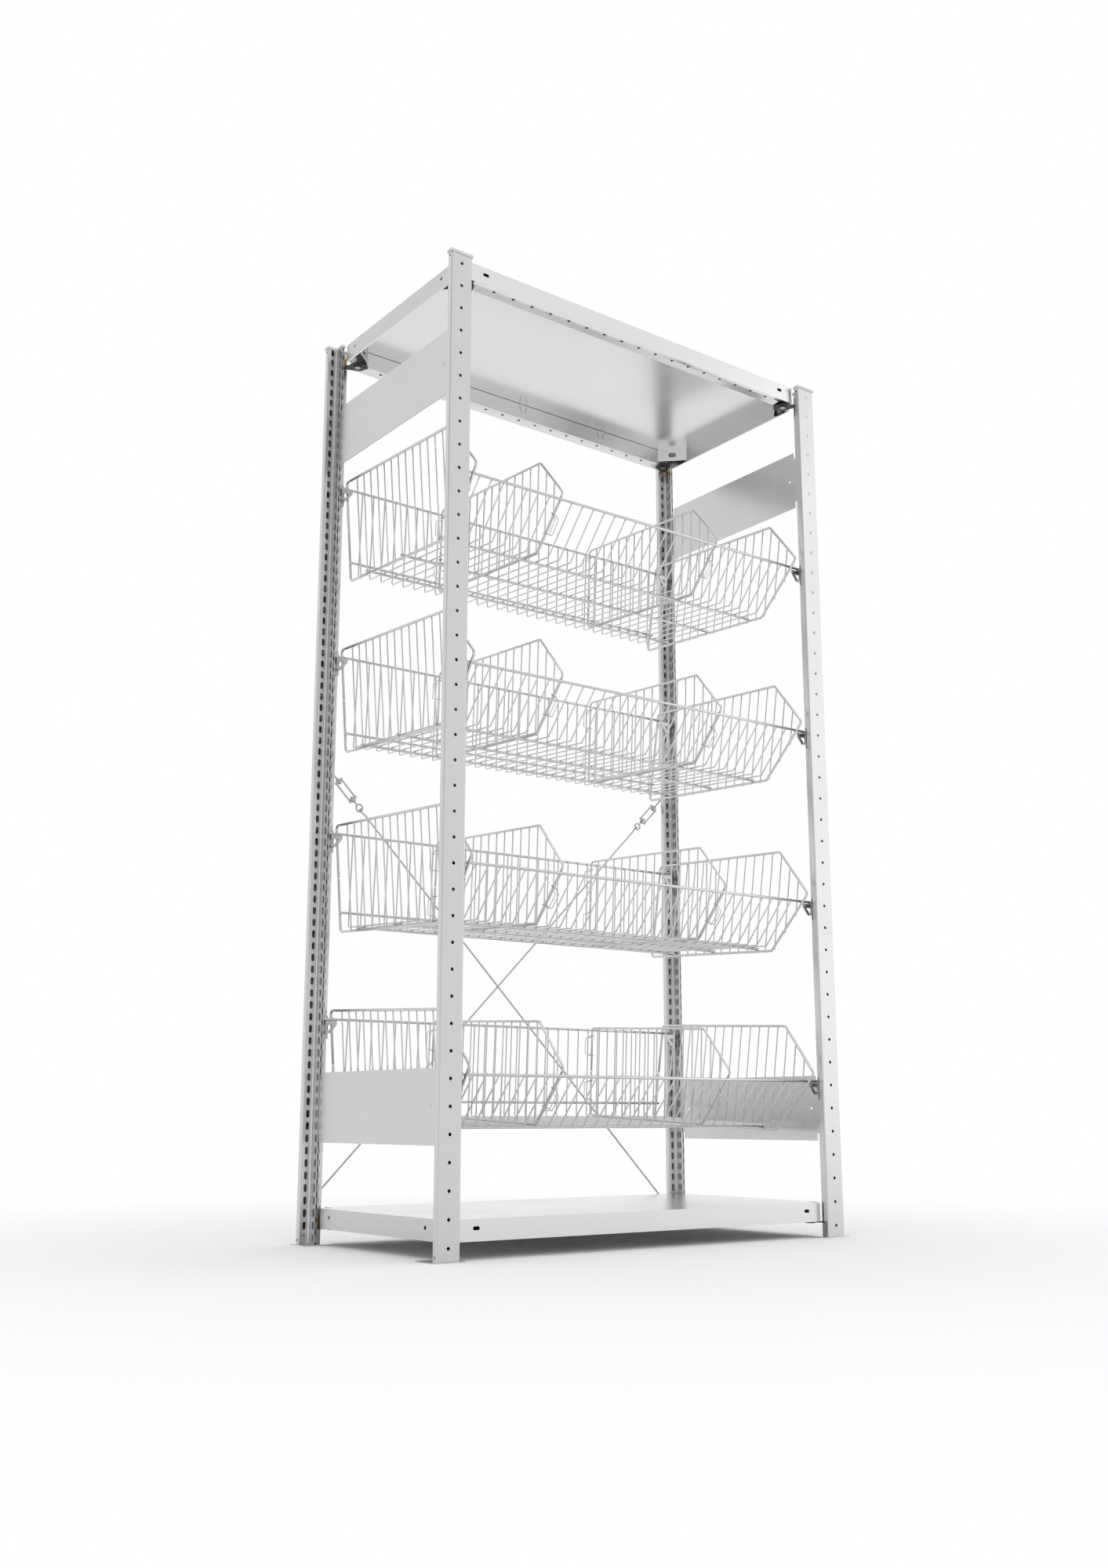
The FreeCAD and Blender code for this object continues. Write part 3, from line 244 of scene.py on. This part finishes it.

# Shelves are folded from galvanised sheet, with box edges and riveted corner gussets. Walls
# that face along X, the shelf's end walls, carry a fifth of painted shade, and a painted dark ring round
# each hole punched along the creased undersides of the box edges stands in for the shade seen through the
# holes and makes them look wider. Sizes are in mm.
end_wall_shade_share = 0.79
hole_pitch = 50.0
last_hole = 400.0
hole_row = 232.5
hole_shade_outside = 4.0
hole_shade_inside = 3.4
sheet_zinc = metal("galvanised_sheet", "DEDEDE", 0.24, 150)
tree = sheet_zinc.node_tree
shade = tree.nodes["Principled BSDF"]
tone = shade.inputs["Base Color"].links[0].from_socket
normal = add(tree, "NewGeometry").outputs["True Normal"]
place = add(tree, "TexCoord").outputs["Object"]
# painted shade: walls facing along X are darkened a fifth, so the shelf's ends look shaded
lengthwise = vectors(tree, "DOT_PRODUCT", normal, (1.0, 0.0, 0.0))["Value"]
lengthwise = numbers(tree, "ABSOLUTE", lengthwise)
end_wall_shade = ramp(tree, lengthwise, 0.7, 1.0, 1.0, end_wall_shade_share)
tone = add(tree, "VectorMath", {"operation": "SCALE"}, {0: tone, "Scale": end_wall_shade}).outputs[0]
# painted shade: a dark ring round each crease hole on the underside stands in for the shade inside the box
# edge
spot = add(tree, "SeparateXYZ", {}, {0: place}).outputs
along = numbers(tree, "PINGPONG", spot["X"], hole_pitch / 2 * MM)
across = numbers(tree, "ABSOLUTE", spot["Y"])
across = numbers(tree, "SUBTRACT", across, hole_row * MM)
from_hole = add(tree, "CombineXYZ", {}, {"X": along, "Y": across}).outputs[0]
from_hole = vectors(tree, "LENGTH", from_hole)["Value"]
hole_shade_ring = ramp(tree, from_hole, hole_shade_outside * MM, hole_shade_inside * MM)
in_row = numbers(tree, "ABSOLUTE", spot["X"])
in_row = numbers(tree, "LESS_THAN", in_row, (last_hole + hole_pitch / 2) * MM)
downward = vectors(tree, "DOT_PRODUCT", normal, (0.0, 0.0, -1.0))["Value"]
underside = numbers(tree, "GREATER_THAN", downward, 0.2)
hole_shade_ring = numbers(tree, "MULTIPLY", hole_shade_ring, in_row)
hole_shade_ring = numbers(tree, "MULTIPLY", hole_shade_ring, underside)
tone = mix(tree, hole_shade_ring, tone, linear("303030"))
tree.links.new(tone, shade.inputs["Base Color"])
for level in ("bottom", "top"):
    finish_node(level + "_shelf", sheet_zinc)

# Each shelf corner sits on a black oxide clip plate whose boss carries a painted grey highlight, on a hook
# strip of yellow passivated zinc that hangs in the upright's slots. The four corners mirror each
# other, so one place, in mm, gives all the bosses.
boss_place = (467.37 * MM, 223.69 * MM, 0.0)
boss_rim = 9.5
boss_top = 3.5
clip_steel, tree = new_material("black_oxide_steel")
place = add(tree, "TexCoord").outputs["Object"]
grain = noise(tree, place, 6, 3.0)
tone = mix(tree, grain, linear("2C2D2D"), linear("484948"))
folded = vectors(tree, "ABSOLUTE", place)["Vector"]
folded = vectors(tree, "MULTIPLY", folded, (1.0, 1.0, 0.0))["Vector"]
# painted highlight: a grey disc on the flat boss stands in for the reflection on a domed boss
from_boss = vectors(tree, "DISTANCE", folded, boss_place)["Value"]
boss_highlight = ramp(tree, from_boss, boss_rim * MM, boss_top * MM, kind="SMOOTHSTEP")
tone = mix(tree, boss_highlight, tone, linear("A6A7A6"))
gloss = ramp(tree, grain, 0.0, 1.0, 0.3, 0.45)
shade = add(tree, "BsdfPrincipled", {}, {"Base Color": tone, "Metallic": 1.0, "Roughness": gloss})
add(tree, "OutputMaterial", {}, {"Surface": shade.outputs[0]})
yellow_zinc = metal("yellow_passivated_zinc", "C79A3C", 0.3, 20)
for level in ("bottom", "top"):
    finish_node(level + "_shelf_clips", clip_steel)
    finish_node(level + "_shelf_hooks", yellow_zinc)

# Hangers are pressed brackets with two hooks in the slots. Each brace is a bent rod with a
# turnbuckle between a hook and an eye. All are zinc plated.
LEVELS = ("bottom", "lower", "upper", "top")
for level in LEVELS:
    finish_node(level + "_hangers", bracket_zinc)
for side in ("left", "right"):
    for kind in ("brace_hook_", "turnbuckle_", "brace_eye_", "brace_rod_"):
        finish_node(kind + side, bracket_zinc)

# Each basket is welded from straight and bent steel wire and then bright zinc plated. Bent
# cross wires lie inside the long bars, and two leaning ends close it. Sizes are in mm, from
# the front point of the ends' outline, and Y runs to the rear.
ALONG = (1.0, 0.0, 0.0)
UPWARD = (0.0, 0.0, 1.0)
STILL = np.eye(3)
end_wire = 6.0
bar_wire = 6.0
cross_wire = 3.3
divider_wire = 5.0
infill_wire = 3.2
clip_wire = 2.0
weld = 0.3
play = 0.05
wire_pitch = 29.7
cross_count = 30
basket_top = 104.2
basket_bottom = -127.2
basket_rear = 521.0
top_front = 98.5
bottom_front = 100.5
end_half = 456.4
end_lean = math.radians(5.8)
rim_down_slope = 26.0
rear_rim_height = 85.0
divider_setback = 26.0
slope = np.array([0.0, bottom_front, basket_bottom])
slope /= np.linalg.norm(slope)
inward = np.array([0.0, -slope[2], slope[1]])
bar_inset = (end_wire + bar_wire) / 2 + play
cross_inset = bar_inset + (bar_wire + cross_wire) / 2 - weld
divider_inset = cross_inset + (cross_wire + divider_wire) / 2 + play
bottom_edge = basket_bottom * math.cos(end_lean)
front_rim = slope * rim_down_slope + inward * bar_inset
rear_rim = np.array([0.0, basket_rear - bar_inset, rear_rim_height])


def rounded(corners, bend, steps=7):
    """Flat path of straight runs: each corner becomes an arc about the point that lies one bend
    radius from both runs, from half the turn before the corner's bisector to half after it."""
    corners = [np.array(c, float) for c in corners]
    runs = [corners[0][None]]
    for before, corner, after in zip(corners, corners[1:], corners[2:]):
        back = (before - corner) / np.linalg.norm(before - corner)
        ahead = (after - corner) / np.linalg.norm(after - corner)
        half = math.acos(float(back @ ahead)) / 2
        out = -(back + ahead) / np.linalg.norm(back + ahead)
        along = (ahead - back) / np.linalg.norm(ahead - back)
        turn = np.linspace(half - math.pi / 2, math.pi / 2 - half, steps)[:, None]
        centre = corner - out * bend / math.sin(half)
        runs.append(centre + bend * (np.cos(turn) * out + np.sin(turn) * along))
    runs.append(corners[-1][None])
    return np.vstack(runs)


def tube(path, wire, normal, sides=12):
    """Round wire: a circle carried along a path that lies in the plane of one normal. A ring is
    its centre plus the radius times (cos a across the path + sin a along the normal). Cut ends
    are rounded over a third of the radius."""
    end_share = 0.66
    path = np.asarray(path, float)
    normal = np.asarray(normal, float)
    first = path[1] - path[0]
    last = path[-2] - path[-1]
    first = path[0] + first / np.linalg.norm(first) * wire / 6
    last = path[-1] + last / np.linalg.norm(last) * wire / 6
    path = np.vstack([path[:1], first, path[1:-1], last, path[-1:]])
    rings = len(path)
    radius = np.full(rings, wire / 2)
    radius[[0, -1]] *= end_share
    across = np.cross(np.gradient(path, axis=0), normal)
    across /= np.linalg.norm(across, axis=1)[:, None]
    angle = np.linspace(0, 2 * math.pi, sides, endpoint=False)[None, :, None]
    ring = np.cos(angle) * across[:, None] + np.sin(angle) * normal
    points = (path[:, None] + radius[:, None, None] * ring).reshape(-1, 3)
    row = np.arange(rings - 1)[:, None] * sides
    column = np.arange(sides)[None]
    nearby = (column + 1) % sides
    above = row + sides
    quads = np.stack([row + column, above + column, above + nearby, row + nearby], -1).reshape(-1, 4)
    caps = [list(range(sides)), list(range(rings * sides - 1, (rings - 1) * sides - 1, -1))]
    return points, quads, caps


def merged(shapes):
    """Several shapes as one, their faces counted on."""
    points = []
    quads = []
    caps = []
    count = 0
    for shape_points, shape_quads, shape_caps in shapes:
        points.append(shape_points)
        quads.append(shape_quads + count)
        caps += [[i + count for i in cap] for cap in shape_caps]
        count += len(shape_points)
    return np.vstack(points), np.vstack(quads), caps


def moved(shape, turn, shift):
    """Shape turned by a matrix and then shifted."""
    points, quads, caps = shape
    return points @ np.array(turn).T + np.array(shift), quads, caps


def on_slope(height, inset):
    """Place on the front slope at a height, moved in from the ends' wire."""
    along = (height - inward[2] * inset) / slope[2]
    return slope * along + inward * inset


def end_at(height):
    """Distance of a leaning end from the middle."""
    return end_half + height * math.tan(end_lean)


def bar(place, half):
    """Straight long bar."""
    ends = np.array([[-half, place[1], place[2]], [half, place[1], place[2]]])
    return tube(ends, bar_wire, UPWARD)


def cross_place(number):
    """Sideways place of a cross wire, counted from the left."""
    return (number - (cross_count - 1) / 2) * wire_pitch


def tray_shape():
    """Cross wires bent from the front rim down, along the floor and up to the rear rim, copied
    at an even pitch, with two rims, a rear bar and three floor bars outside them."""
    cross_bend = 5.0
    rim_half = 488.0
    rear_bar_rise = 42.0
    first_floor_bar = 48.0
    floor_bar_pitch = 148.0
    overhang = 5.0
    past_rim = bar_wire / 4
    floor_line = bottom_edge + cross_inset
    back = basket_rear - cross_inset
    route = [slope * (rim_down_slope - past_rim) + inward * cross_inset,
             on_slope(floor_line, cross_inset),
             (0, back, floor_line),
             (0, back, rear_rim_height + past_rim)]
    wire = tube(rounded(route, cross_bend), cross_wire, ALONG, sides=10)
    shapes = [moved(wire, STILL, (cross_place(i), 0, 0)) for i in range(cross_count)]
    shapes += [bar(front_rim, rim_half), bar(rear_rim, rim_half)]
    rear_bar = (0, basket_rear - bar_inset, basket_bottom + rear_bar_rise)
    shapes.append(bar(rear_bar, end_at(rear_bar[2]) + overhang))
    height = bottom_edge + bar_inset
    for i in range(3):
        floor_bar = (0, bottom_front + first_floor_bar + floor_bar_pitch * i, height)
        shapes.append(bar(floor_bar, end_at(height) + overhang))
    return merged(shapes)


def grille_shape(frame_wire, inset, low, setback, first):
    """One bent wire round the basket's outline, drawn in on all sides, whose cut ends meet in the
    rear run, with upright infill wires welded to one face. Both front edges are drawn in alike,
    so the front point moves along their bisector by the inset over the sine of half the angle."""
    frame_bend = 9.0
    joint = -11.0
    half_gap = 0.6
    most_wires = 16
    shortest = 4 * frame_wire
    past_low = 3.0
    past_high = 1.0
    high = basket_top - inset
    back = basket_rear - setback
    rise = np.array([0.0, top_front, basket_top])
    rise /= np.linalg.norm(rise)
    bisector = (rise + slope) / np.linalg.norm(rise + slope)
    nose = bisector * inset / math.sin(math.acos(float(rise @ slope)) / 2)
    crest = nose + rise * (high - nose[2]) / rise[2]
    corner = nose + slope * (low - nose[2]) / slope[2]
    route = [(0, back, joint - half_gap), (0, back, low), corner, nose, crest, (0, back, high),
             (0, back, joint + half_gap)]
    shapes = [tube(rounded(route, frame_bend), frame_wire, ALONG)]
    offset = frame_wire / 2 + infill_wire / 2 - weld
    for i in range(most_wires):
        place = back - first - i * wire_pitch
        over = high if place > crest[1] else nose[2] + (place - nose[1]) * rise[2] / rise[1]
        under = low if place > corner[1] else nose[2] + (place - nose[1]) * slope[2] / slope[1]
        if over - under > shortest:
            run = [(offset, place, under - past_low), (offset, place, over + past_high)]
            shapes.append(tube(run, infill_wire, ALONG, sides=10))
    return merged(shapes)


def clip_shape(place):
    """Spring clips that hold a divider to the cross wires. Each is one thin wire bent double and
    then into an open C whose back stands outside the basket and whose splayed legs end just past
    the divider's wire: one on the front slope, two at the rear."""
    half_width = 4.0
    half_height = 18.0
    splay = 5.5
    depth = 20.2
    past = 3.5
    clip_bend = 4.0
    down_slope = 86.6
    rear_heights = (48.0, -55.0)
    upward = np.array(UPWARD)
    rearward = np.array([0.0, 1.0, 0.0])
    seats = [(slope * down_slope + inward * divider_inset, slope, -inward)]
    for height in rear_heights:
        seats.append((rearward * (basket_rear - divider_setback) + upward * height, upward, rearward))
    shapes = []
    for middle, along, outward in seats:
        tip = along * (half_height + splay) - outward * past
        far_tip = -along * (half_height + splay) - outward * past
        shoulder = along * half_height + outward * depth
        far_shoulder = -along * half_height + outward * depth
        leg = middle + rounded([tip, shoulder, far_shoulder, far_tip], clip_bend, steps=5)
        aside = np.array([half_width, 0, 0])
        for shift in (-aside, aside):
            shapes.append(tube(leg + shift, clip_wire, ALONG, sides=8))
        for end in (leg[0], leg[-1]):
            shapes.append(tube([end - aside, end + aside], clip_wire, UPWARD, sides=8))
    return moved(merged(shapes), STILL, (place, 0, 0))


def turned(angle, axis):
    """Rotation matrix about X (0) or Y (1)."""
    c = math.cos(angle)
    s = math.sin(angle)
    if axis == 0:
        return np.array([[1, 0, 0], [0, c, -s], [0, s, c]])
    return np.array([[c, 0, s], [0, 1, 0], [-s, 0, c]])


def new_piece(name, shape, material, body, replaced):
    """Mesh object from a shape in mm, riding on a body in place of its plain nodes."""
    points, quads, caps = shape
    mesh = bpy.data.meshes.new(name)
    mesh.from_pydata((points * MM).tolist(), [], quads.tolist() + caps)
    mesh.polygons.foreach_set("use_smooth", np.ones(len(mesh.polygons), bool))
    mesh.set_sharp_from_angle(angle=math.radians(50))
    mesh.materials.append(material)
    piece = bpy.data.objects.new(name, mesh)
    scene.collection.objects.link(piece)
    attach(piece, body)
    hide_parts(*replaced)


# A basket's rims lie on hangers in the uprights' slots, the rear ones five slots higher than the
# front ones, so the whole basket is tipped. Four baskets hang sixteen slots apart.
slot_pitch = 25.0
lowest_slot = 12.5
front_slot = 12
slots_apart = 16
rim_rise = 5 * slot_pitch
hanger_top = 17.6
clearance = 0.3
basket_shift = -5.0
span = rear_rim - front_rim
tilt = math.asin(rim_rise / np.linalg.norm(span)) - math.atan2(span[2], span[1])
rock = turned(tilt, 0)
spread = math.sqrt(span @ span - rim_rise ** 2)
wire_zinc = metal("bright_zinc_wire", "CFCFCF", 0.24, 40)
end_shape = grille_shape(end_wire, 0, basket_bottom, 0, 39)
divider_shape = grille_shape(divider_wire, divider_inset, bottom_edge + divider_inset, divider_setback, 23)
shapes = {"tray": tray_shape()}
clips = []
for side, sign, number in (("left", -1, 7), ("right", 1, 22)):
    place = cross_place(number)
    shapes[side + "_end"] = moved(end_shape, turned(sign * end_lean, 1), (sign * end_half, 0, 0))
    shapes[side + "_divider"] = moved(divider_shape, STILL, (place, 0, 0))
    clips.append(clip_shape(place))
shapes["divider_clips"] = merged(clips)
for number, level in enumerate(LEVELS):
    slot_height = lowest_slot + (front_slot + slots_apart * number) * slot_pitch
    rim_height = slot_height + hanger_top + bar_wire / 2 + clearance
    origin = np.array([basket_shift, -spread / 2, rim_height]) - rock @ front_rim
    for kind, shape in shapes.items():
        new_piece("%s_%s_wires" % (level, kind), moved(shape, rock, origin), wire_zinc, level + "_basket",
                  ["%s_basket_%s" % (level, kind)])
